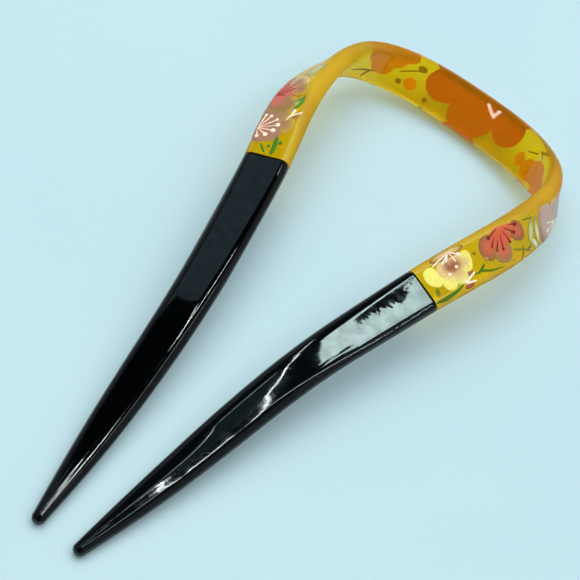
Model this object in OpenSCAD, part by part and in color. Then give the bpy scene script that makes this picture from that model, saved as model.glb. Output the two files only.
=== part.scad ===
// Two-legged kanzashi hair pin: an amber crown strip, bent at both corners, and two black lacquered legs.
// The pin lies as on a table: it rests on the crown's lower edge and on both tips. Millimetres, +Z up.
// +X runs across the pin, +Y from the tips to the crown. The origin is under the middle of the pin.

/* [Overall size] */
// Length over all, from the tips to the back of the crown
pin_l = 131.6; // [105:0.1:160]
// Width over both corners
pin_w = 57.6; // [46:0.1:72]
// Height of the corners above the table
pin_h = 14.8; // [11:0.1:17]

/* [Strip] */
// Width of the strip at the middle of the crown
strip_w = 9.8; // [8:0.1:12]
// Thickness of the strip at the middle of the crown
strip_t = 3.4; // [2.6:0.1:4.2]

/* [Lacquer] */
// Where the black lacquer starts on the left leg, counted in rows of the shape table
left_join = 6.92; // [6.4:0.02:7.6]
// Where the black lacquer starts on the right leg, counted in rows of the shape table
right_join = 7.2; // [6.4:0.02:7.6]
// Gap between the crown and each leg at the lacquer line, in rows of the shape table
seam = 0.004; // [0.002:0.002:0.02]

/* [Smoothness] */
// Sections drawn between two rows of the shape table
row_steps = 6; // [3:1:10]
// Points round each side of a section
side_steps = 7; // [3:1:10]

/* [Hidden] */

AMBER = [0.85, 0.68, 0.12];
BLACK = [0.04, 0.05, 0.06];

// The shape table holds the right half, from the middle of the crown to the tip of the leg.
// The left half mirrors it. The strip follows a smooth line drawn by these rows.
// Columns: across, along and up are the place of a row. lean turns the painted face: 0 faces outward,
// 90 faces up and less than 0 faces down. width and thick are the strip's section, and round is how far
// its rounded sides reach in from each edge.
ACROSS = 0; ALONG = 1; UP = 2; LEAN = 3; WIDTH = 4; THICK = 5; ROUND = 6;
SHAPE = [
    // across along   up   lean  width thick round
    [   0.0,  62.0,  3.5,  -52,  9.8,  3.4,  0.8 ],
    [  12.0,  60.5,  5.0,  -48,  9.6,  3.3,  0.7 ],
    [  21.0,  56.0,  7.0,  -22,  9.0,  3.3,  1.4 ],
    [  24.5,  51.5,  8.0,   10,  8.8,  3.4,  2.2 ],
    [  25.5,  45.5,  9.5,   34,  9.0,  3.9,  2.3 ],
    [  25.0,  36.5, 11.0,   48,  9.2,  4.2,  1.7 ],
    [  23.0,  27.5, 11.5,   66,  9.2,  3.9,  1.2 ],
    [  19.5,  17.5, 10.0,   78,  9.0,  3.3,  1.6 ],
    [  16.0,   3.0,  9.0,   84,  8.8,  3.1,  2.3 ],
    [  11.5, -14.5,  8.0,   94,  8.2,  3.2,  2.5 ],
    [   7.5, -43.0,  2.5,   94,  7.2,  3.0,  2.4 ],
    [   4.5, -64.5,  1.2,   90,  2.6,  2.4,  1.2 ],
];
LAST = len(SHAPE) - 1;

// The table is drawn for these sizes, and a changed size stretches it
DRAWN_L = 131.6;
DRAWN_W = 57.6;
DRAWN_H = 14.8;
DRAWN_STRIP_W = SHAPE[0][WIDTH];
DRAWN_STRIP_T = SHAPE[0][THICK];
STRETCH = [pin_w / DRAWN_W, pin_l / DRAWN_L, pin_h / DRAWN_H];
WIDTH_STRETCH = strip_w / DRAWN_STRIP_W;
THICK_STRETCH = strip_t / DRAWN_STRIP_T;

// The rounded tip: how many sections it takes and how far round the ball they go
TIP_STEPS = 5;
TIP_TURN = 80;

// A row of the table at any whole count: below 0 is the mirrored half, past the tip runs straight on
function plain_row(i) = i > LAST ? 2 * SHAPE[LAST] - SHAPE[LAST - 1] : SHAPE[i];
function mirrored(row) = [for (c = [0 : len(row) - 1]) c == ACROSS ? -row[c] : row[c]];
function row(i) = i < 0 ? mirrored(plain_row(-i)) : plain_row(i);

// Cubic blend of four neighbouring rows at the place s, and its slope
function blend_weights(f) = [
    pow(1 - f, 3) / 6,
    (3 * pow(f, 3) - 6 * pow(f, 2) + 4) / 6,
    (-3 * pow(f, 3) + 3 * pow(f, 2) + 3 * f + 1) / 6,
    pow(f, 3) / 6
];
function slope_weights(f) = [
    -pow(1 - f, 2) / 2,
    (3 * pow(f, 2) - 4 * f) / 2,
    (-3 * pow(f, 2) + 2 * f + 1) / 2,
    pow(f, 2) / 2
];
function mix_rows(i, w) = w[0] * row(i - 1) + w[1] * row(i) + w[2] * row(i + 1) + w[3] * row(i + 2);
function whole(s) = max(-LAST, min(LAST - 1, floor(s)));
function shape_at(s) = mix_rows(whole(s), blend_weights(s - whole(s)));
function slope_at(s) = mix_rows(whole(s), slope_weights(s - whole(s)));

function unit(v) = v / norm(v);
function place(r) = [r[ACROSS] * STRETCH[0], r[ALONG] * STRETCH[1], r[UP] * STRETCH[2]];

// One section of the strip at the place s. size shrinks it and ahead moves it on, both for the tip.
function section(s, size = 1, ahead = 0) =
    let (
        shape = shape_at(s),
        forward = unit(place(slope_at(s))),
        outward = unit([-forward[1], forward[0], 0]),
        upward = cross(forward, outward),
        face = cos(shape[LEAN]) * outward + sin(shape[LEAN]) * upward,
        side = sin(shape[LEAN]) * outward - cos(shape[LEAN]) * upward,
        half_w = shape[WIDTH] * WIDTH_STRETCH / 2 * size,
        half_t = shape[THICK] * THICK_STRETCH / 2 * size,
        round_w = min(shape[ROUND] * size, half_w * 0.98),
        centre = place(shape) + forward * ahead
    )
    [for (way = [-1, 1], k = [0 : side_steps - 1])
        let (turn = -way * (90 - 180 * k / (side_steps - 1)))
        centre + side * way * (half_w - round_w + round_w * cos(turn)) + face * half_t * sin(turn)];

// A closed skin over a list of sections that all have the same number of points
module skin(sections) {
    n = len(sections[0]);
    m = len(sections);
    points = [for (ring = sections) each ring];
    sides = [for (j = [0 : m - 2], k = [0 : n - 1])
        let (a = j * n + k, b = j * n + (k + 1) % n)
        each [[a, b, b + n], [a, b + n, a + n]]];
    first = [for (k = [n - 1 : -1 : 0]) k];
    last = [for (k = [0 : n - 1]) (m - 1) * n + k];
    polyhedron(points = points, faces = concat([first], sides, [last]));
}

// Places along the strip from a to b, about row_steps to a row
function places(a, b) =
    let (count = max(2, ceil(abs(b - a) * row_steps)))
    [for (k = [0 : count]) a + (b - a) * k / count];

// Sections of the rounded end beyond the last row, for the end on the right or the left
function tip_radius() = SHAPE[LAST][WIDTH] * WIDTH_STRETCH / 2;
function tip_section(way, k) =
    let (turn = TIP_TURN * k / TIP_STEPS)
    section(way * LAST, cos(turn), way * tip_radius() * sin(turn));

// The amber strip between the two lacquer lines
module crown() {
    color(AMBER) skin([for (s = places(-left_join + seam, right_join - seam)) section(s)]);
}

// The black leg on the left, from its rounded tip to the lacquer line
module left_leg() {
    color(BLACK) skin(concat(
        [for (k = [TIP_STEPS : -1 : 1]) tip_section(-1, k)],
        [for (s = places(-LAST, -left_join)) section(s)]
    ));
}

// The black leg on the right, from the lacquer line to its rounded tip
module right_leg() {
    color(BLACK) skin(concat(
        [for (s = places(right_join, LAST)) section(s)],
        [for (k = [1 : TIP_STEPS]) tip_section(1, k)]
    ));
}

crown();
left_leg();
right_leg();
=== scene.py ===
"""The looks of a two-legged kanzashi hair pin.

A clear amber crown with painted plum blossoms ends in two black lacquered legs.
The shape table and its curves repeat part.scad, in millimetres, and points become metres in new_mesh.
+X runs across the pin, +Y from the tips to the crown, +Z up from the table.
"""
import math

import bpy
import numpy as np
from mathutils import Matrix, Vector


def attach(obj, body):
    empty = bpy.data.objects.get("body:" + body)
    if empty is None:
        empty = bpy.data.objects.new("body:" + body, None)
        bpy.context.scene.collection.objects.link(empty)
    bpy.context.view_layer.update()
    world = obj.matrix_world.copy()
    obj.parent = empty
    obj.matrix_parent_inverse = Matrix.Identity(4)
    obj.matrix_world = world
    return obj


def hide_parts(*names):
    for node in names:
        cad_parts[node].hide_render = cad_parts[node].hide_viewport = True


MM = 0.001
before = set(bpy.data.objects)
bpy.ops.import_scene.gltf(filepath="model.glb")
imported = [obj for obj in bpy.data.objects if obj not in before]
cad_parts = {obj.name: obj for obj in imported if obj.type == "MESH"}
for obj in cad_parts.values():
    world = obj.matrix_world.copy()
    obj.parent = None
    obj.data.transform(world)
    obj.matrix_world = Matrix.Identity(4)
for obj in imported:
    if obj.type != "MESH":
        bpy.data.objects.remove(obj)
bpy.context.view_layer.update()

# The strip's curves
ACROSS, ALONG, UP, LEAN, WIDTH, THICK, ROUND = range(7)
SHAPE = np.array([
    # across along   up   lean  width thick round
    [0.0, 62.0, 3.5, -52, 9.8, 3.4, 0.8],
    [12.0, 60.5, 5.0, -48, 9.6, 3.3, 0.7],
    [21.0, 56.0, 7.0, -22, 9.0, 3.3, 1.4],
    [24.5, 51.5, 8.0, 10, 8.8, 3.4, 2.2],
    [25.5, 45.5, 9.5, 34, 9.0, 3.9, 2.3],
    [25.0, 36.5, 11.0, 48, 9.2, 4.2, 1.7],
    [23.0, 27.5, 11.5, 66, 9.2, 3.9, 1.2],
    [19.5, 17.5, 10.0, 78, 9.0, 3.3, 1.6],
    [16.0, 3.0, 9.0, 84, 8.8, 3.1, 2.3],
    [11.5, -14.5, 8.0, 94, 8.2, 3.2, 2.5],
    [7.5, -43.0, 2.5, 94, 7.2, 3.0, 2.4],
    [4.5, -64.5, 1.2, 90, 2.6, 2.4, 1.2],
])
LAST = len(SHAPE) - 1
LEFT_JOIN, RIGHT_JOIN, SEAM = 6.92, 7.2, 0.004
# how far each leg is turned over (degrees) at each place
TURNED_OVER = ((-8.0, 4.0), (-7.2, 0.0), (9.6, 0.0), (10.0, -4.0))
TIP_RADIUS, TIP_TURN, TIP_STEPS = 1.3, 80, 12
SKIN_TURN = math.radians(120)  # how far round the side paint can reach


def row(i):
    """Row i of the table; negative rows are the left half, and one more row runs on past the tips."""
    a = abs(i)
    found = (2 * SHAPE[LAST] - SHAPE[LAST - 1] if a > LAST else SHAPE[a]).copy()
    if i < 0:
        found[ACROSS] *= -1
    return found


def mix(s, slope=False):
    """The table's smooth values, or their slopes, at place s.

    Places run from -LAST at the left tip to LAST at the right tip.
    """
    i = int(max(-LAST, min(LAST - 1, math.floor(s))))
    f = s - i
    if slope:
        weights = [-((1 - f) ** 2) / 2, (3 * f**2 - 4 * f) / 2, (-3 * f**2 + 2 * f + 1) / 2, f**2 / 2]
    else:
        weights = [(1 - f) ** 3 / 6, (3 * f**3 - 6 * f**2 + 4) / 6,
                   (-3 * f**3 + 3 * f**2 + 3 * f + 1) / 6, f**3 / 6]
    return sum(w * row(i - 1 + k) for k, w in enumerate(weights))


def over(table, s):
    """The value at s between a table's (place, value) pairs."""
    return float(np.interp(s, *zip(*table)))


def axes(s):
    """(values, forward, face, side) at place s.

    Face points out of the painted face, and side away from the opening.
    """
    shape, forward = mix(s), mix(s, True)[:3]
    forward /= np.linalg.norm(forward)
    outward = np.array([-forward[1], forward[0], 0.0])
    outward /= np.linalg.norm(outward)
    upward = np.cross(forward, outward)
    lean = math.radians(shape[LEAN] - over(TURNED_OVER, s))
    face = math.cos(lean) * outward + math.sin(lean) * upward
    side = math.sin(lean) * outward - math.cos(lean) * upward
    return shape, forward, face, side


PLACES = np.linspace(-LAST, LAST, 2201)
middle_line = np.array([mix(s)[:3] for s in PLACES])
LENGTHS = np.concatenate([[0], np.cumsum(np.linalg.norm(np.diff(middle_line, axis=0), axis=1))])
LENGTHS -= np.interp(0, PLACES, LENGTHS)  # from the crown's middle


def skin(along, across, lift=0.0):
    """A point on the painted face, lifted off it.

    Along is the length from the crown's middle, and across runs over the face and round its edges.
    """
    shape, _, face, side = axes(float(np.interp(along, LENGTHS, PLACES)))
    half_t, round_w = shape[THICK] / 2, shape[ROUND]
    flat = shape[WIDTH] / 2 - round_w
    turn = min(max(0.0, abs(across) - flat) / ((round_w + half_t) / 2), SKIN_TURN)
    way = math.copysign(1, across)
    reach = min(abs(across), flat) + round_w * math.sin(turn)
    normal = np.array([half_t * math.sin(turn), round_w * math.cos(turn)])
    normal /= np.linalg.norm(normal)
    place = shape[:3] + side * way * reach + face * half_t * math.cos(turn)
    return place + (side * way * normal[0] + face * normal[1]) * lift


# The crown and the legs
SHARP_FROM = math.radians(60)


def new_mesh(name, points, faces, colours=None):
    """An object of smooth faces through points in millimetres, with a colour for each point or none."""
    mesh = bpy.data.meshes.new(name)
    mesh.from_pydata([tuple(np.asarray(p) * MM) for p in points], [], faces)
    mesh.validate()
    mesh.polygons.foreach_set("use_smooth", [True] * len(mesh.polygons))
    mesh.set_sharp_from_angle(angle=SHARP_FROM)
    if colours is not None:
        layer = mesh.color_attributes.new("paint", "FLOAT_COLOR", "POINT")
        layer.data.foreach_set("color", np.array([(*c, 1.0) for c in colours], np.float32).ravel())
    piece = bpy.data.objects.new(name, mesh)
    bpy.context.scene.collection.objects.link(piece)
    return piece


SIDE_STEPS, FACE_STEPS, CROWN_STEPS, LEG_STEPS = 20, 13, 300, 120
MOST_ROUND = 0.98  # of the half width, where the strip is narrowest
# how far the lower legs' faces are crowned (mm) at each place
CAMBER = ((8.7, 0.0), (9.1, 0.024), (9.6, 0.024), (10.0, 0.08))


def ring(s, size=1.0, ahead=0.0):
    """The cross-section at place s: two flat faces joined by two half-elliptical sides."""
    shape, forward, face, side = axes(s)
    half_w, half_t = shape[WIDTH] / 2 * size, shape[THICK] / 2 * size
    round_w = min(shape[ROUND] * size, half_w * MOST_ROUND)
    flat = half_w - round_w
    crowned = size * over(CAMBER, abs(s))
    centre = shape[:3] + forward * ahead
    points = []
    for way in (-1, 1):
        for k in range(SIDE_STEPS + 1):
            turn = math.radians(-way * (90 - 180 * k / SIDE_STEPS))
            reach = flat + round_w * math.cos(turn)
            points.append(centre + side * way * reach + face * half_t * math.sin(turn))
        for k in range(1, FACE_STEPS):
            x = 1 - 2 * k / FACE_STEPS
            points.append(centre + side * way * flat * x + face * (half_t + crowned * (1 - x * x)) * way)
    return points


def strip(name, rings):
    """A closed strip through the rings."""
    n = len(rings[0])
    points = [p for r in rings for p in r]
    faces = [(i * n + j, i * n + (j + 1) % n, (i + 1) * n + (j + 1) % n, (i + 1) * n + j)
             for i in range(len(rings) - 1) for j in range(n)]
    faces += [tuple(range(n)), tuple(reversed(range((len(rings) - 1) * n, len(rings) * n)))]
    return new_mesh(name, points, faces)


def sideness():
    """How far round a side each point of a ring is: 0 on the flat faces, 1 in the middle of a side."""
    turns = [math.radians(90 - 180 * k / SIDE_STEPS) for k in range(SIDE_STEPS + 1)]
    return ([abs(math.cos(turn)) ** SATIN_EASE for turn in turns] + [0.0] * (FACE_STEPS - 1)) * 2


def places(a, b, steps):
    """Even places from a to b."""
    return [a + (b - a) * k / steps for k in range(steps + 1)]


def tip(way):
    """The rings of a leg's rounded end, from the last row out to the tip."""
    turns = [math.radians(TIP_TURN * k / TIP_STEPS) for k in range(1, TIP_STEPS + 1)]
    return [ring(way * LAST, math.cos(t), way * TIP_RADIUS * math.sin(t)) for t in turns]


# how satin the crown's sides are at each place: clear across the back, satin from the corners to the legs
SATIN = ((1.5, 0.1), (3.2, 1.0))
SATIN_EASE = 0.35  # the lower, the nearer to the faces the satin begins
crown_places = places(-LEFT_JOIN + SEAM, RIGHT_JOIN - SEAM, CROWN_STEPS)
crown = strip("amber_crown", [ring(s) for s in crown_places])
satin_there = np.outer([over(SATIN, abs(s)) for s in crown_places], sideness())
side_layer = crown.data.color_attributes.new("side", "FLOAT_COLOR", "POINT")
side_layer.data.foreach_set("color", np.repeat(satin_there, 4).astype(np.float32))
# the lacquer's edge at its join is rounded: how far past the join, and how much of the full size
ROUNDED_EDGE = ((0.0, 0.955), (0.008, 0.974), (0.02, 0.989), (0.036, 0.997))
EDGE_END = 0.055


def leg_rings(way, join):
    """The rings of a leg, from its join out to its tip."""
    edge = [ring(way * (join + past), size) for past, size in ROUNDED_EDGE]
    return edge + [ring(s) for s in places(way * (join + EDGE_END), way * LAST, LEG_STEPS)] + tip(way)


left_leg = strip("left_lacquer_leg", leg_rings(-1, LEFT_JOIN)[::-1])
right_leg = strip("right_lacquer_leg", leg_rings(1, RIGHT_JOIN))


# Materials
def srgb(r, g, b):
    """A picture's 0 to 255 colour as linear light."""
    return tuple((c / 255 / 12.92 if c <= 10 else ((c / 255 + 0.055) / 1.055) ** 2.4) for c in (r, g, b))


def material(name):
    """(material, nodes, links, shader) of a new material."""
    made = bpy.data.materials.new(name)
    made.use_nodes = True
    tree = made.node_tree
    return made, tree.nodes, tree.links, tree.nodes["Principled BSDF"]


def noise(nodes, links, place, scale, detail, rough=0.5):
    """The strength of a noise texture at place."""
    n = nodes.new("ShaderNodeTexNoise")
    n.inputs["Scale"].default_value = scale
    n.inputs["Detail"].default_value = detail
    n.inputs["Roughness"].default_value = rough
    links.new(place, n.inputs["Vector"])
    return n.outputs["Fac"]


def spread(nodes, links, value, low, high, start=0.3, end=0.7):
    """value, which is mostly between start and end, as a number from low to high."""
    m = nodes.new("ShaderNodeMapRange")
    for key, number in (("From Min", start), ("From Max", end), ("To Min", low), ("To Max", high)):
        m.inputs[key].default_value = number
    links.new(value, m.inputs["Value"])
    return m.outputs["Result"]


def bump(nodes, links, height, distance, strength, shader):
    """Fine waves on the shader's surface, distance in metres."""
    b = nodes.new("ShaderNodeBump")
    b.inputs["Distance"].default_value = distance
    b.inputs["Strength"].default_value = strength
    links.new(height, b.inputs["Height"])
    links.new(b.outputs["Normal"], shader.inputs["Normal"])


def object_coordinates(nodes):
    return nodes.new("ShaderNodeTexCoord").outputs["Object"]


AMBER_COLOUR = (1.0, 0.63, 0.008, 1)
# from the flat faces to the middle of the sides
FACE_CLEARNESS, SIDE_CLEARNESS = 0.87, 0.78
FACE_SHINE, SIDE_SHINE = 0.3, 0.05
SATIN_ROUGHNESS = 0.7


def amber_acrylic():
    """Amber plastic: faces to see through, and satin sides that look more solid."""
    made, nodes, links, shader = material("amber_acrylic")
    shader.inputs["Base Color"].default_value = AMBER_COLOUR
    shader.inputs["Transmission Weight"].default_value = SIDE_CLEARNESS  # a plain value; the link below sets it
    shader.inputs["IOR"].default_value = 1.47
    place = object_coordinates(nodes)
    haze = noise(nodes, links, place, 120, 4)
    side = nodes.new("ShaderNodeVertexColor")
    side.layer_name = "side"
    clearness = spread(nodes, links, side.outputs["Color"], FACE_CLEARNESS, SIDE_CLEARNESS, 0.0, 1.0)
    links.new(clearness, shader.inputs["Transmission Weight"])
    satin = nodes.new("ShaderNodeMath")
    satin.operation = "MULTIPLY_ADD"
    links.new(side.outputs["Color"], satin.inputs[0])
    satin.inputs[1].default_value = SATIN_ROUGHNESS
    links.new(spread(nodes, links, haze, 0.0, 0.05), satin.inputs[2])
    links.new(satin.outputs["Value"], shader.inputs["Roughness"])
    shine = spread(nodes, links, side.outputs["Color"], FACE_SHINE, SIDE_SHINE)
    links.new(shine, shader.inputs["Specular IOR Level"])
    return made


# the lacquer is brushed on thicker near the crown, so its waves are full from WAVES_FULL up along Y (metres)
WAVES_LOW, WAVES_FULL, LEAST_WAVE = -0.012, 0.0, 0.25
LACQUER_COLOUR = srgb(9, 13, 19)


def black_lacquer():
    """Glossy black lacquer with faint brush waves."""
    made, nodes, links, shader = material("black_lacquer")
    shader.inputs["Base Color"].default_value = (*LACQUER_COLOUR, 1)
    place = object_coordinates(nodes)
    wave = noise(nodes, links, place, 700, 1)
    links.new(spread(nodes, links, wave, 0.03, 0.06), shader.inputs["Roughness"])
    smear = noise(nodes, links, place, 500, 3)
    links.new(spread(nodes, links, smear, 0.4, 0.58), shader.inputs["Specular IOR Level"])
    parts = nodes.new("ShaderNodeSeparateXYZ")
    links.new(place, parts.inputs["Vector"])
    uneven = nodes.new("ShaderNodeMath")
    uneven.operation = "MULTIPLY"
    strength = spread(nodes, links, parts.outputs["Y"], LEAST_WAVE, 1.0, WAVES_LOW, WAVES_FULL)
    links.new(strength, uneven.inputs[0])
    links.new(wave, uneven.inputs[1])
    bump(nodes, links, uneven.outputs["Value"], 0.00001, 1.0, shader)
    return made


TABLE_COLOURS = srgb(200, 229, 237), srgb(208, 235, 241)


def pale_table():
    """A plain pale blue surface with soft, faint clouds."""
    made, nodes, links, shader = material("pale_table")
    shader.inputs["Roughness"].default_value = 0.7
    ramp = nodes.new("ShaderNodeValToRGB")
    for end, at, tint in zip(ramp.color_ramp.elements, (0.3, 0.7), TABLE_COLOURS):
        end.position, end.color = at, (*tint, 1)
    links.new(noise(nodes, links, object_coordinates(nodes), 8, 4), ramp.inputs["Fac"])
    links.new(ramp.outputs["Color"], shader.inputs["Base Color"])
    return made


amber, lacquer = amber_acrylic(), black_lacquer()
for piece, node, slot, look in (
    (crown, "crown", "amber", amber),
    (left_leg, "left_leg", "lacquer", lacquer),
    (right_leg, "right_leg", "lacquer", lacquer),
):
    piece.data.materials.append(look)
    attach(piece, "root")
    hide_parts(node)
    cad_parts[node].data.materials.clear()
    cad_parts[node].data.materials.append(look)

# The painting
PAINT = {
    "cream": srgb(250, 228, 204), "white": srgb(240, 235, 225), "gold": srgb(230, 220, 106),
    "straw": srgb(222, 190, 120), "rose_brown": srgb(152, 88, 58), "red": srgb(214, 84, 52),
    "brick": srgb(196, 96, 66), "tan": srgb(150, 112, 80), "dark_red": srgb(120, 28, 24),
    "pink": srgb(206, 92, 84), "rose": srgb(190, 108, 90), "mauve": srgb(160, 118, 92),
    "olive_brown": srgb(160, 138, 70), "grey_rose": srgb(186, 156, 140), "brown": srgb(140, 96, 62),
    "rust": srgb(176, 84, 44), "stem": srgb(72, 108, 6), "olive": srgb(122, 120, 18),
    "leaf": srgb(92, 140, 44), "pale_leaf": srgb(196, 194, 128), "green": srgb(66, 120, 26),
    "umber": srgb(146, 96, 52), "olive_tan": srgb(150, 118, 70), "salmon": srgb(204, 90, 62),
    "flame": srgb(206, 112, 60), "beige": srgb(216, 184, 122), "green_straw": srgb(206, 204, 106),
    "pale_grey": srgb(214, 218, 196), "ochre": srgb(186, 150, 60), "under": srgb(214, 78, 34),
    # the soft and pale undercoats below, the backs of the paint seen through the acrylic, are brighter than
    # the paint itself: partly painted light, standing in for light that comes through the thin paint
    "under_soft_painted_light": srgb(255, 172, 40), "under_pale_painted_light": srgb(255, 226, 110), "under_olive": srgb(130, 110, 10),
}
UNDER = -0.04  # the underside of the paint (mm), just inside the acrylic
# how thick each kind of paint is, and how far off the acrylic it starts (mm)
PETAL_DEPTH, STAMEN_DEPTH, DOT_DEPTH, TWIG_DEPTH, TOUCH_DEPTH = 0.1, 0.08, 0.1, 0.09, 0.08
STAMEN_LEVEL, DOT_LEVEL, TWIG_LEVEL = 0.13, 0.14, 0.03
PETAL_LEVELS, PETAL_STEP = 6, 0.012  # petals lie over each other in turn
PETAL_WOBBLE = 0.03
RIM_START, RIM_SPAN, RIM_EASE = 0.25, 0.7, 1.2  # where a petal's rim colour sets in, from its middle
SPOT_POINTS = 28
SPOT_TOP = (0, 0.25, 0.45, 0.62, 0.76, 0.88, 0.96, 1.0)  # rings of a spot, over it and back under it
SPOT_UNDER = (1.0, 0.84, 0.68, 0.5, 0.3, 0)
STROKE_TOP, STROKE_UNDER = (-1, -0.75, -0.35, 0.35, 0.75, 1), (1, -1)
STROKE_STEPS, STROKE_ENDS = 6, (80, 60, 40, 20)
FULL_WIDTH = 0.35  # narrower strokes (mm) are thinner
STAMEN_START, STAMEN_MIDDLE = 0.5, 0.85  # of a stamen's full width


def blend(stops, t):
    """The colour at t, from 0 to 1, along evenly spaced colours."""
    at = min(max(t, 0.0), 1.0) * (len(stops) - 1)
    k = min(int(at), len(stops) - 2)
    return tuple(np.array(PAINT[stops[k]]) * (1 - at + k) + np.array(PAINT[stops[k + 1]]) * (at - k))


def domed(x):
    """The height of paint at x, from 1 in its middle to 0 at its edge."""
    return (1 - x**4) ** 0.6


class Coat:
    """Paint on the face, gathered into one piece: closed thin shells that sit a little into the acrylic."""

    def __init__(self, name):
        self.name, self.points, self.colours, self.faces = name, [], [], []

    def add(self, along, across, lift, colour):
        self.points.append(skin(along, across, lift))
        self.colours.append(colour)
        return len(self.points) - 1

    def loops(self, rings):
        """Faces between the rings, in order, where a ring of one point is a middle."""
        for a, b in zip(rings, rings[1:]):
            n = max(len(a), len(b))
            for j in range(n):
                k = (j + 1) % n
                if len(a) == 1:
                    self.faces.append((a[0], b[j], b[k]))
                elif len(b) == 1:
                    self.faces.append((a[j], b[0], a[k]))
                else:
                    self.faces.append((a[j], b[j], b[k], a[k]))

    def spot(self, along, across, half_a, half_b, turn, colour_at, under, depth, level=0.0, wobble=0.0,
             point=0.0):
        """A round touch of paint, or a pointed one.

        Turn is the angle in degrees from the along direction to its length.
        """
        c, s = math.cos(math.radians(turn)), math.sin(math.radians(turn))

        def edge(j, t):
            angle = 2 * math.pi * j / SPOT_POINTS
            waves = wobble * math.cos(3 * angle + along), 0.5 * wobble * math.cos(5 * angle + 2 * across)
            size = t * (1 + waves[0] + waves[1])
            x, y = math.cos(angle) * half_a * size, math.sin(angle) * half_b * size
            y *= 1 - point * abs(math.cos(angle)) ** 2
            return along + x * c - y * s, across + x * s + y * c

        def points(t):
            return [edge(j, t) for j in range(SPOT_POINTS if t else 1)]

        rings = [[self.add(a, b, level + depth * domed(t), colour_at(a, b, t)) for a, b in points(t)]
                 for t in SPOT_TOP]
        rings += [[self.add(a, b, UNDER, PAINT[under]) for a, b in points(t)] for t in SPOT_UNDER]
        self.loops(rings)

    def stroke(self, route, colour, under, depth, level):
        """A brush stroke through (along, across, width) points, with round ends."""
        route = np.array(route, float)
        padded = np.concatenate([[2 * route[0] - route[1]], route, [2 * route[-1] - route[-2]]])
        line = []
        for i in range(1, len(padded) - 2):
            last = i == len(padded) - 3
            p0, p1, p2, p3 = padded[i - 1 : i + 3]
            bend, twist = 2 * p0 - 5 * p1 + 4 * p2 - p3, 3 * p1 - p0 - 3 * p2 + p3
            for f in np.linspace(0, 1, STROKE_STEPS + 1)[: STROKE_STEPS + last]:
                line.append(0.5 * (2 * p1 + (p2 - p0) * f + bend * f**2 + twist * f**3))
        line = np.array(line)
        ways = np.gradient(line[:, :2], axis=0)
        ways /= np.linalg.norm(ways, axis=1)[:, None]

        def rounding(end, way):
            """Ever narrower points past one end of the line, the farthest first. Way points out of it."""
            turns = [math.radians(x) for x in STROKE_ENDS]
            return [np.append(end[:2] + way * end[2] / 2 * math.sin(x), end[2] * math.cos(x)) for x in turns]

        ends = len(STROKE_ENDS)
        line = np.array(rounding(line[0], -ways[0]) + list(line) + rounding(line[-1], ways[-1])[::-1])
        ways = np.array([ways[0]] * ends + list(ways) + [ways[-1]] * ends)
        sections = []
        for (a, b, width), way in zip(line, ways):
            height = depth * min(1.0, width / FULL_WIDTH)
            touches = [(x, level + height * domed(x), colour) for x in STROKE_TOP]
            touches += [(x, UNDER, PAINT[under]) for x in STROKE_UNDER]
            sections.append([self.add(a - way[1] * width / 2 * x, b + way[0] * width / 2 * x, lift, paint)
                             for x, lift, paint in touches])
        first, last = sections[0], sections[-1]
        self.faces += [tuple(reversed(first)), tuple(last)]
        self.loops(sections)

    def finish(self, look):
        piece = new_mesh(self.name, self.points, self.faces, self.colours)
        piece.data.materials.append(look)
        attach(piece, "root")


def enamel_paint():
    """Enamel in the colours of the "paint" layer, with fine grain."""
    made, nodes, links, shader = material("enamel_paint")
    colour = nodes.new("ShaderNodeVertexColor")
    colour.layer_name = "paint"
    grain = noise(nodes, links, object_coordinates(nodes), 1800, 5, 0.6)
    tone = nodes.new("ShaderNodeMix")
    tone.data_type, tone.blend_type = "RGBA", "MULTIPLY"
    tone.inputs["Factor"].default_value = 1.0
    links.new(colour.outputs["Color"], tone.inputs["A"])
    links.new(spread(nodes, links, grain, 0.88, 1.08), tone.inputs["B"])
    links.new(tone.outputs["Result"], shader.inputs["Base Color"])
    links.new(spread(nodes, links, grain, 0.28, 0.5), shader.inputs["Roughness"])
    shader.inputs["Specular IOR Level"].default_value = 0.35
    shader.inputs["Coat Weight"].default_value = 0.15
    shader.inputs["Coat Roughness"].default_value = 0.1
    bump(nodes, links, grain, 0.00002, 0.5, shader)
    return made


# name: middle along, middle across, reach, colours from the middle out, undercoat
BLOSSOMS = {
    "red_blossom": (47.8, -3.0, 6.6, ("salmon", "salmon", "brick", "umber"), "under"),
    "gold_blossom": (59.0, -1.2, 5.2, ("rose_brown", "rose_brown", "beige", "gold", "gold"), "under_pale_painted_light"),
    "grey_blossom": (31.8, 0.4, 7.5, ("grey_rose", "grey_rose", "grey_rose", "brown"), "under_pale_painted_light"),
    "mauve_blossom": (-56.6, 3.6, 7.0, ("rose", "mauve", "mauve", "olive_brown"), "under_pale_painted_light"),
    "pink_blossom": (-46.6, 3.0, 6.6, ("pink", "pink", "rose", "tan", "olive_brown"), "under_pale_painted_light"),
    "large_blossom": (0.2, -3.4, 11.0, ("red", "red", "brick", "tan"), "under"),
    "left_blossom": (-18.6, -2.0, 5.5, ("pink", "rose", "mauve"), "under_soft_painted_light"),
    "corner_blossom": (19.2, 1.8, 6.0, ("red", "brick", "straw"), "under_soft_painted_light"),
}
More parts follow.
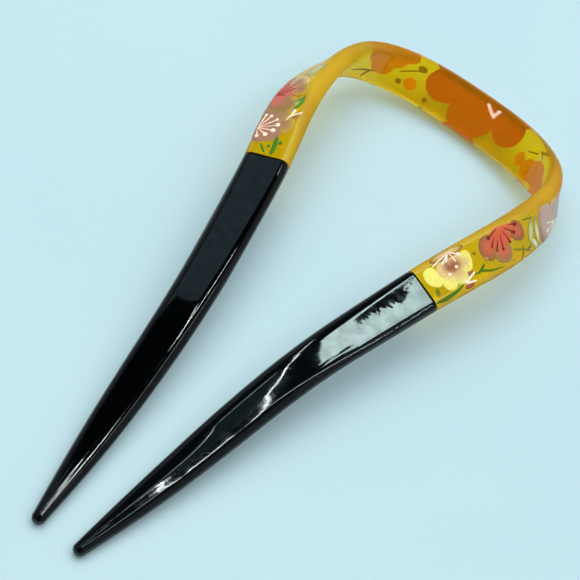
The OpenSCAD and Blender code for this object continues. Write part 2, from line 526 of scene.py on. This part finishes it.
# blossom, along, across, half length, half width, turn, colour of its rim, or none
PETALS = (
    ("red_blossom", 44.1, -1.5, 1.7, 2.1, 10, "umber"),
    ("red_blossom", 51.1, -1.0, 1.9, 2.5, -22, "umber"),
    ("red_blossom", 48.7, 0.8, 2.0, 2.3, -12, "olive_tan"),
    ("red_blossom", 47.2, -2.7, 3.0, 1.2, 0, "flame"),
    ("red_blossom", 48.3, -1.6, 2.6, 1.7, 0, "salmon"),
    ("gold_blossom", 58.9, -3.5, 3.6, 1.0, 0, "umber"),
    ("gold_blossom", 63.6, -0.8, 1.6, 2.1, 8, "gold"),
    ("gold_blossom", 61.2, 1.3, 1.5, 1.8, -10, "gold"),
    ("gold_blossom", 58.8, 1.5, 1.7, 1.5, 0, "green_straw"),
    ("gold_blossom", 56.3, -0.6, 1.2, 2.1, -18, "gold"),
    ("gold_blossom", 59.3, -0.9, 3.2, 2.0, 0, "beige"),
    ("grey_blossom", 35.6, 1.6, 3.0, 3.2, 0, ""),
    ("grey_blossom", 32.2, 3.4, 3.0, 2.2, 0, ""),
    ("grey_blossom", 29.6, 2.4, 2.6, 2.4, 0, ""),
    ("grey_blossom", 30.6, -0.4, 2.4, 1.8, 0, ""),
    ("grey_blossom", 35.4, -0.9, 2.6, 2.0, 0, ""),
    ("grey_blossom", 31.6, 0.4, 3.2, 2.8, 0, ""),
    ("mauve_blossom", -56.6, 1.6, 2.7, 2.6, 0, ""),
    ("mauve_blossom", -53.2, 1.4, 2.8, 2.7, 0, ""),
    ("mauve_blossom", -54.6, -1.2, 2.2, 1.8, 0, "ochre"),
    ("mauve_blossom", -58.2, 2.8, 1.6, 1.8, 0, ""),
    ("mauve_blossom", -52.4, 3.6, 2.0, 1.6, 0, ""),
    ("mauve_blossom", -56.6, 4.0, 2.4, 1.2, 0, ""),
    ("pink_blossom", -50.2, 1.6, 2.4, 2.6, 0, "olive_tan"),
    ("pink_blossom", -50.0, -0.6, 2.2, 1.6, 0, "ochre"),
    ("pink_blossom", -45.8, 1.6, 2.8, 2.4, 0, "rose"),
    ("pink_blossom", -43.6, 0.2, 2.3, 2.4, 0, "straw"),
    ("pink_blossom", -46.4, 3.6, 2.6, 1.8, 0, "rose"),
    ("pink_blossom", -45.6, -1.2, 1.9, 1.7, 0, "ochre"),
    ("pink_blossom", -49.4, 2.4, 2.0, 2.0, 0, ""),
    ("pink_blossom", -43.0, 3.2, 2.2, 1.8, 0, "rose"),
    ("large_blossom", -7.6, -1.5, 3.5, 3.4, 0, ""),
    ("large_blossom", 0.0, 0.2, 5.0, 4.5, 0, ""),
    ("large_blossom", 8.0, -1.5, 3.6, 3.5, 0, ""),
    ("large_blossom", -3.6, -3.6, 3.6, 2.0, 0, ""),
    ("large_blossom", 4.0, -3.4, 3.6, 2.0, 0, ""),
    ("left_blossom", -20.2, 0.0, 2.3, 2.2, 0, ""),
    ("left_blossom", -18.4, -2.2, 2.8, 2.2, 0, ""),
    ("left_blossom", -16.0, -3.4, 2.2, 1.4, 0, ""),
    ("left_blossom", -21.8, -1.4, 1.8, 2.0, 0, ""),
    ("corner_blossom", 17.2, 1.8, 2.4, 2.2, 0, ""),
    ("corner_blossom", 21.0, 2.2, 2.6, 2.2, 0, ""),
    ("corner_blossom", 19.4, 0.2, 2.2, 1.8, 0, ""),
)
# blossom, start along, across, end along, across, width, dot radius, colour
STAMENS = (
    ("red_blossom", 48.1, -3.5, 50.3, -2.6, 0.34, 0.36, "dark_red"),
    ("red_blossom", 49.4, -2.2, 50.5, -0.8, 0.34, 0.0, "dark_red"),
    ("red_blossom", 48.8, -1.6, 49.9, 0.3, 0.34, 0.0, "dark_red"),
    ("red_blossom", 47.9, -2.3, 48.5, 0.4, 0.3, 0.3, "dark_red"),
    ("red_blossom", 47.1, -2.6, 46.5, -0.2, 0.28, 0.28, "dark_red"),
    ("red_blossom", 46.6, -3.1, 44.9, -1.5, 0.3, 0.34, "dark_red"),
    ("red_blossom", 45.4, -3.3, 44.0, -2.8, 0.32, 0.38, "dark_red"),
    ("gold_blossom", 58.6, -3.5, 62.4, -2.6, 0.3, 0.0, "cream"),
    ("gold_blossom", 58.9, -3.3, 60.6, -2.1, 0.3, 0.0, "cream"),
    ("gold_blossom", 58.8, -3.3, 59.7, -2.2, 0.36, 0.0, "white"),
    ("gold_blossom", 58.4, -3.4, 58.1, -1.5, 0.3, 0.0, "cream"),
    ("gold_blossom", 58.4, -3.5, 57.0, -2.4, 0.32, 0.38, "cream"),
    ("gold_blossom", 59.1, -2.2, 59.5, -1.4, 0.24, 0.0, "grey_rose"),
    ("gold_blossom", 58.45, -0.7, 58.55, -0.5, 0.4, 0.33, "cream"),
    ("gold_blossom", 60.35, 0.0, 60.5, 0.2, 0.4, 0.35, "cream"),
    ("mauve_blossom", -56.6, 3.7, -53.3, 2.0, 0.24, 0.33, "cream"),
    ("mauve_blossom", -56.6, 3.7, -54.0, 0.6, 0.26, 0.33, "cream"),
    ("mauve_blossom", -56.6, 3.7, -55.2, 0.1, 0.2, 0.45, "cream"),
    ("mauve_blossom", -56.6, 3.7, -56.6, 0.6, 0.28, 0.5, "cream"),
    ("mauve_blossom", -56.6, 3.7, -57.8, 1.8, 0.3, 0.47, "cream"),
    ("mauve_blossom", -56.7, 3.8, -58.5, 3.3, 0.26, 0.4, "cream"),
    ("mauve_blossom", -56.6, 3.8, -53.2, 3.1, 0.28, 0.3, "cream"),
    ("pink_blossom", -47.4, 3.2, -45.4, -0.2, 0.2, 0.0, "dark_red"),
    ("pink_blossom", -47.4, 3.2, -44.2, 0.6, 0.2, 0.0, "dark_red"),
    ("pink_blossom", -47.4, 3.2, -43.6, 2.0, 0.2, 0.0, "dark_red"),
    ("pink_blossom", -47.6, 3.2, -47.3, 1.6, 0.26, 0.0, "dark_red"),
    ("grey_blossom", 32.7, 1.5, 36.0, 2.2, 0.22, 0.25, "white"),
    ("grey_blossom", 32.7, 1.5, 35.4, 3.2, 0.22, 0.25, "white"),
    ("grey_blossom", 32.7, 1.5, 34.0, 4.0, 0.22, 0.25, "white"),
    ("grey_blossom", 32.7, 1.5, 31.8, 4.3, 0.22, 0.25, "white"),
    ("grey_blossom", 32.7, 1.5, 29.6, 3.0, 0.22, 0.25, "white"),
    ("grey_blossom", 32.7, 1.5, 35.4, 0.8, 0.2, 0.2, "white"),
    ("large_blossom", 0.2, -3.6, -5.4, -1.8, 0.34, 0.4, "cream"),
    ("large_blossom", 0.2, -3.6, -2.8, 0.4, 0.34, 0.4, "cream"),
    ("large_blossom", 0.2, -3.6, 0.0, 1.4, 0.34, 0.4, "cream"),
    ("large_blossom", 0.2, -3.6, 2.8, 0.4, 0.34, 0.4, "cream"),
    ("large_blossom", 0.2, -3.6, 5.6, -1.8, 0.34, 0.4, "cream"),
    ("left_blossom", -18.6, -3.4, -20.6, -0.4, 0.26, 0.3, "cream"),
    ("left_blossom", -18.6, -3.4, -18.4, -0.6, 0.26, 0.3, "cream"),
    ("left_blossom", -18.6, -3.4, -16.6, -2.0, 0.26, 0.3, "cream"),
    ("corner_blossom", 19.2, 1.0, 17.0, 2.4, 0.24, 0.3, "cream"),
    ("corner_blossom", 19.2, 1.0, 19.4, 3.2, 0.24, 0.3, "cream"),
    ("corner_blossom", 19.2, 1.0, 21.6, 2.4, 0.24, 0.3, "cream"),
)
# colour, undercoat, then (along, across, width) for each point
TWIGS = (
    ("stem", "under_olive", ((65.7, 3.6, 0.4), (63.9, 3.8, 0.8),
                             (62.1, 3.7, 0.75), (60.6, 3.5, 0.55), (59.3, 3.1, 0.3))),
    ("stem", "under_olive", ((56.0, 2.3, 0.25), (55.0, 2.3, 0.5), (54.2, 1.9, 0.5), (53.4, 1.4, 0.3))),
    ("stem", "under_olive", ((54.9, 2.2, 0.4), (53.9, 2.5, 0.46), (52.6, 3.0, 0.42), (50.2, 3.4, 0.2))),
    ("olive", "under_olive", ((46.4, 1.3, 0.2), (45.0, 2.0, 0.4), (42.5, 3.0, 0.35))),
    ("olive", "under_olive", ((44.0, 1.6, 0.15), (44.4, 2.6, 0.36), (45.0, 3.8, 0.36))),
    ("olive", "under_olive", ((41.8, -2.7, 0.4), (40.6, -2.5, 0.36), (39.4, -2.3, 0.2))),
    ("green", "under_olive", ((-58.1, -0.7, 0.7), (-59.8, -0.8, 0.95), (-61.6, -0.7, 0.7))),
    ("green", "under_olive", ((-60.0, 1.9, 0.3), (-60.8, 1.4, 0.45), (-61.6, 0.8, 0.4))),
    ("cream", "under_pale_painted_light", ((-54.1, -0.9, 0.3), (-52.8, -1.7, 0.42), (-51.4, -2.2, 0.6))),
    ("cream", "under_pale_painted_light", ((-52.8, -1.8, 0.25), (-52.2, -2.8, 0.3), (-51.7, -3.8, 0.35))),
    ("cream", "under_pale_painted_light", ((58.6, 2.9, 0.35), (58.1, 1.7, 0.4))),
    ("cream", "under_pale_painted_light", ((58.4, 3.0, 0.5), (57.2, 2.4, 0.45), (56.0, 1.9, 0.35))),
    ("cream", "under_pale_painted_light", ((58.2, 3.2, 0.45), (56.6, 3.4, 0.4))),
    ("olive", "under_olive", ((-16.4, 0.1, 0.2), (-14.5, -0.9, 0.3), (-12.9, -1.7, 0.25))),
    ("olive", "under_olive", ((-19.6, 1.4, 0.25), (-22.4, 2.1, 0.4), (-26.2, 2.4, 0.3))),
    ("olive", "under_olive", ((-22.0, 2.0, 0.25), (-22.8, 2.9, 0.4), (-23.4, 3.8, 0.3))),
    ("olive", "under_olive", ((14.6, -4.0, 0.3), (16.5, -3.2, 0.35), (18.5, -2.0, 0.25))),
    ("olive", "under_olive", ((14.5, -0.9, 0.25), (16.7, -1.9, 0.3))),
)
# colours from the middle out, undercoat, along, across, half length, half width, turn, point
TOUCHES = (
    (("rust", "rust"), "under", 58.0, 3.85, 1.1, 0.6, 0, 0),
    (("pale_grey", "cream"), "under_pale_painted_light", 59.0, -3.1, 1.1, 0.55, 0, 0),
    (("brown", "rust"), "under", 56.9, 1.7, 0.9, 0.6, 20, 0),
    (("stem", "olive"), "under_olive", 64.5, 2.0, 0.9, 0.45, 70, 0.4),
    (("olive", "olive"), "under_olive", 54.1, -1.2, 0.35, 0.35, 0, 0),
    (("pale_leaf", "pale_leaf", "olive"), "under_olive", 40.9, 0.2, 2.9, 0.8, 66, 0.7),
    (("pale_grey", "pale_leaf", "olive"), "under_olive", 39.2, 0.9, 3.3, 0.75, 80, 0.7),
    (("pale_grey", "pale_leaf"), "under_olive", 40.6, 2.6, 1.8, 0.5, 118, 0.6),
    (("olive", "olive"), "under_olive", 42.6, 2.8, 0.9, 0.4, 20, 0.6),
    (("ochre", "olive_tan"), "under_olive", 52.4, 0.6, 0.6, 0.55, 0, 0),
    (("rust", "olive_brown"), "under", -53.0, -2.5, 1.3, 0.6, -60, 0.3),
    (("pale_leaf", "leaf", "green"), "under_olive", -49.7, -2.0, 2.4, 0.95, -32, 0.7),
    (("pale_leaf", "pale_leaf", "olive_brown"), "under_olive", -39.4, -1.8, 2.6, 1.3, -42, 0.6),
    (("green", "green"), "under_olive", -59.0, -1.7, 0.42, 0.36, 0, 0),
    (("green", "green"), "under_olive", -60.2, 0.3, 0.36, 0.3, 0, 0),
    (("olive", "olive"), "under_olive", -12.6, -2.2, 0.95, 0.65, 0, 0),
    (("olive", "olive"), "under_olive", -15.9, 2.0, 0.6, 0.55, 0, 0),
    (("olive", "olive"), "under_olive", -9.4, 2.9, 0.5, 0.5, 0, 0),
    (("red", "brick"), "under_soft_painted_light", -13.5, 1.5, 1.35, 1.25, 0, 0),
    (("red", "brick"), "under_soft_painted_light", 13.8, 1.4, 1.0, 1.5, 0, 0),
)

coats = {name: Coat(name) for name in BLOSSOMS}
for n, (name, along, across, half_a, half_b, turn, rim) in enumerate(PETALS):
    mid_a, mid_b, reach, stops, under = BLOSSOMS[name]
    level = PETAL_STEP * (n % PETAL_LEVELS)

    def shade(a, b, t):
        inner = blend(stops, math.hypot(a - mid_a, b - mid_b) / reach)
        if not rim:
            return inner
        share = min(max((t - RIM_START) / RIM_SPAN, 0.0), 1.0) ** RIM_EASE
        return tuple(np.array(inner) * (1 - share) + np.array(PAINT[rim]) * share)

    coats[name].spot(along, across, half_a, half_b, turn, shade, under, PETAL_DEPTH, level, PETAL_WOBBLE)
for name, a0, b0, a1, b1, width, dot, colour in STAMENS:
    coat, under = coats[name], BLOSSOMS[name][-1]
    middle = ((a0 + a1) / 2, (b0 + b1) / 2, width * STAMEN_MIDDLE)
    route = ((a0, b0, width * STAMEN_START), middle, (a1, b1, width))
    coat.stroke(route, PAINT[colour], under, STAMEN_DEPTH, STAMEN_LEVEL)
    if dot:
        coat.spot(a1, b1, dot, dot, 0, lambda a, b, t: PAINT[colour], under, DOT_DEPTH, DOT_LEVEL)
twigs = coats["twigs"] = Coat("twigs_and_buds")
for colour, under, route in TWIGS:
    twigs.stroke(route, PAINT[colour], under, TWIG_DEPTH, TWIG_LEVEL)
for stops, under, along, across, half_a, half_b, turn, point in TOUCHES:
    twigs.spot(along, across, half_a, half_b, turn, lambda a, b, t: blend(stops, t), under, TOUCH_DEPTH,
               point=point)
enamel = enamel_paint()
for coat in coats.values():
    coat.finish(enamel)

# Camera, floor and lights
IMAGE = 580
AZIMUTH, ELEVATION, ROLL = math.radians(-67.6), math.radians(52.8), math.radians(17.6)
DISTANCE, FOCAL_PIXELS, TARGET = 422.0, 2284.0, np.array([-1.9, 4.2, 0.0])


def direction(azimuth, elevation):
    """The unit direction of angles in radians."""
    level = math.cos(elevation)
    return np.array([level * math.cos(azimuth), level * math.sin(azimuth), math.sin(elevation)])


def stand(thing, turned, place):
    """Puts an object at place (metres) with its own X, Y and Z along the turned axes, and shows it."""
    turn = Matrix([[float(axis[k]) for axis in turned] for k in range(3)])
    thing.matrix_world = Matrix.Translation(Vector(place)) @ turn.to_4x4()
    bpy.context.scene.collection.objects.link(thing)


towards = direction(AZIMUTH, ELEVATION)
right = np.cross(-towards, [0, 0, 1])
right /= np.linalg.norm(right)
above = np.cross(right, -towards)
c, s = math.cos(ROLL), math.sin(ROLL)
camera = bpy.data.objects.new("camera", bpy.data.cameras.new("camera"))
stand(camera, (c * right + s * above, -s * right + c * above, towards), (TARGET + DISTANCE * towards) * MM)
camera.data.sensor_width = 36.0
camera.data.lens = FOCAL_PIXELS / IMAGE * camera.data.sensor_width
camera.data.clip_start, camera.data.clip_end = 0.01, 20.0
bpy.context.scene.camera = camera

FLOOR_SIZE = 6.0  # metres
bpy.ops.mesh.primitive_plane_add(size=FLOOR_SIZE)
floor = bpy.context.object
floor.name = "floor"
floor.data.materials.append(pale_table())

# The soft boxes of the ceiling hang on one plane, square to CEILING_HEADING, and their places on it are
# degrees from its middle. Each one lights only its own pieces, so that each leg mirrors its own boxes.
CEILING_HEADING = math.radians(92), math.radians(63.5)
WINDOW, WHITE = (0.74, 1.0, 0.98), (0.9, 1.0, 1.0)
# name, x (to the right), y (up), turn, half width, half height (degrees), brightness, colour, what it lights
CEILING = (
    ("window_low", -3.0, -1.2, 16, 10.4, 2.5, 14.0, WINDOW, "right_leg"),
    ("window_left", -9.8, 1.6, 26, 3.8, 2.8, 14.0, WINDOW, "right_leg"),
    ("window_right", 7.0, 4.6, -14, 2.4, 4.6, 13.0, WINDOW, "right_leg"),
    ("window_top", -1.6, 5.0, 26, 7.5, 0.7, 9.0, WINDOW, "right_leg"),
    ("window_end", 15, 2.0, 0, 11.0, 5.0, 12.0, WINDOW, "right_leg"),
    ("lower_ridge", 38.8, 10.3, -10.3, 36.8, 0.4, 14.0, WINDOW, "right_leg"),
    ("streak_start", -32, -4.5, 42.5, 8.2, 0.25, 40.0, WHITE, "right_leg"),
    ("streak_upper", -23, 3, 33.7, 3.6, 0.15, 70.0, WHITE, "right_leg"),
    ("streak", -19.6, 7.9, 81, 2.9, 0.12, 90.0, WHITE, "right_leg"),
    ("streak_lower", -15.6, 12.1, 22, 3.8, 0.2, 50.0, WHITE, "right_leg"),
    ("streak_end", -1, 16.8, 17, 11, 0.25, 30.0, WHITE, "right_leg"),
    ("upper_line", -26, 8.5, 120, 3.0, 0.2, 25.0, WHITE, "right_leg"),
    ("dim_wall", -24, 11, 0, 8, 4, 0.22, (0.4, 0.9, 1.0), "right_leg"),
    ("wall", -31, 0.2, 0, 24, 9.2, 0.55, (0.55, 0.86, 1.0), "left_leg"),
    ("left_ridge", 29, 2, 90, 7, 0.8, 8.0, WHITE, "left_leg"),
    ("left_line", 10.5, 4.6, 104, 8.2, 0.35, 60.0, WHITE, "left_leg"),
    ("left_tip_line", 5, 10.3, 6, 7, 0.25, 40.0, WHITE, "left_leg"),
    ("window", 3, -2.2, 20, 15, 3.2, 6.0, WINDOW, "crown"),
)
# name, azimuth, elevation, half width, half height (degrees), brightness, colour, what it lights
AROUND = (
    ("key", 130, 66, 24, 22, 0.85, (0.97, 1.0, 1.0), "not_legs"),
    ("canopy", 92, 80, 46, 46, 0.5, (0.95, 1.02, 1.05), "floor"),
    ("lift", 92, 80, 46, 46, 0.82, (0.95, 1.02, 1.05), "floor"),
    ("overhead", 92, 80, 30, 30, 2.0, (0.97, 1.0, 1.0), "crown"),
    ("fill", -60, 76, 16, 16, 4.6, (0.97, 1.0, 1.0), "crown"),
)
UNMIRRORED = ("key", "overhead", "fill", "window")  # these light the pieces and aren't mirrored in them
SHADOWLESS = "lift"
LIGHT_DISTANCE = 1.5  # metres
painted = [bpy.data.objects[coat.name] for coat in coats.values()]
LIT = {}
for lit, pieces in (
    ("right_leg", [right_leg]),
    ("left_leg", [left_leg]),
    ("crown", [crown, *painted]),
    ("floor", [floor]),
    ("not_legs", [crown, floor, *painted]),
):
    LIT[lit] = bpy.data.collections.new("lit_" + lit)
    for piece in pieces:
        LIT[lit].objects.link(piece)


def area_light(name, turned, place, width, height, brightness, colour, lit):
    """A rectangle of light. Its axes are turned to its right, its top, and its back, away from the pin."""
    data = bpy.data.lights.new(name, "AREA")
    data.shape = "RECTANGLE"
    data.size, data.size_y = width, height
    data.energy, data.color = brightness * math.pi * data.size * data.size_y, colour
    lamp = bpy.data.objects.new(name, data)
    stand(lamp, turned, place)
    lamp.light_linking.receiver_collection = LIT[lit]
    return lamp


def soft_box(name, turned, place, half_width, half_height, brightness, colour, lit):
    """A light at LIGHT_DISTANCE whose half size is in degrees."""
    width, height = (2 * LIGHT_DISTANCE * math.tan(math.radians(a)) for a in (half_width, half_height))
    lamp = area_light(name, turned, place, width, height, brightness, colour, lit)
    lamp.visible_glossy = name not in UNMIRRORED
    if name == SHADOWLESS:
        lamp.light_linking.blocker_collection = LIT["floor"]


def facing(azimuth, elevation):
    """(right, top, back) of a plane that faces the pin from there."""
    back = direction(azimuth, elevation)
    across = np.array([math.sin(azimuth), -math.cos(azimuth), 0.0])
    return -across, np.cross(back, -across), back


across, top, back = facing(*CEILING_HEADING)
for name, x, y, turn, *rest in CEILING:
    place = (back - across * math.tan(math.radians(x)) + top * math.tan(math.radians(y))) * LIGHT_DISTANCE
    c, s = math.cos(math.radians(turn)), math.sin(math.radians(turn))
    soft_box(name, (across * c - top * s, across * s + top * c, back), place, *rest)
for name, azimuth, elevation, *rest in AROUND:
    turned = facing(math.radians(azimuth), math.radians(elevation))
    soft_box(name, turned, turned[2] * LIGHT_DISTANCE, *rest)

# Two strips near the pin are mirrored in the crown's inner face, as its bright V.
GLINT_COLOUR, GLINT_BRIGHTNESS = (1.0, 0.88, 0.8), 14.0
GLINT_AT = np.array((4.0, 62.5, 7.5))  # where on the crown they shine (mm)
# name, one end, other end, width (mm)
GLINTS = (
    ("glint_long", (-17.4, 29.1, 53.1), (-22.4, 28.8, 49.2), 1.0),
    ("glint_short", (-22.4, 28.8, 49.2), (-25.8, 32.6, 49.4), 1.4),
)
for name, start, end, width in GLINTS:
    start, end = np.array(start), np.array(end)
    middle, long = (start + end) / 2, end - start
    length = np.linalg.norm(long)
    across = long / length
    back = middle - GLINT_AT
    back -= across * (back @ across)
    back /= np.linalg.norm(back)
    turned = across, np.cross(back, across), back
    sizes = length * MM, width * MM
    lamp = area_light(name, turned, middle * MM, *sizes, GLINT_BRIGHTNESS, GLINT_COLOUR, "crown")
    lamp.visible_transmission = False

# The room is evenly bright, apart from the dark part of the ceiling that the black legs mirror, and the
# side of whoever looks.
# azimuth, elevation, dark up to, light again from (degrees), share of the room's light that is left
DARK_PARTS = ((125, 68, 30, 52, 0.02), (-95, 28, 45, 75, 0.15))
ROOM_LIGHT, ROOM_COLOUR = 0.3, (0.9, 0.97, 1.0, 1)


def studio():
    """The room round the pin."""
    world = bpy.data.worlds.new("studio")
    world.use_nodes = True
    nodes, links = world.node_tree.nodes, world.node_tree.links
    background = nodes["Background"]
    background.inputs["Color"].default_value = ROOM_COLOUR
    outlook = nodes.new("ShaderNodeTexCoord").outputs["Generated"]
    shares = []
    for azimuth, elevation, dark_to, light_from, share in DARK_PARTS:
        heading = nodes.new("ShaderNodeVectorMath")
        heading.operation = "DOT_PRODUCT"
        links.new(outlook, heading.inputs[0])
        heading.inputs[1].default_value = direction(math.radians(azimuth), math.radians(elevation))
        fade = nodes.new("ShaderNodeMapRange")
        fade.interpolation_type = "SMOOTHSTEP"
        fade.inputs["From Min"].default_value = math.cos(math.radians(light_from))
        fade.inputs["From Max"].default_value = math.cos(math.radians(dark_to))
        fade.inputs["To Max"].default_value = share
        fade.inputs["To Min"].default_value = 1.0
        links.new(heading.outputs["Value"], fade.inputs["Value"])
        shares.append(fade.outputs["Result"])
    both = nodes.new("ShaderNodeMath")
    both.operation = "MULTIPLY"
    links.new(shares[0], both.inputs[0])
    links.new(shares[1], both.inputs[1])
    room = nodes.new("ShaderNodeMath")
    room.operation = "MULTIPLY"
    links.new(both.outputs["Value"], room.inputs[0])
    room.inputs[1].default_value = ROOM_LIGHT
    links.new(room.outputs["Value"], background.inputs["Strength"])
    return world


bpy.context.scene.world = studio()
bpy.context.scene.view_settings.view_transform = "Standard"
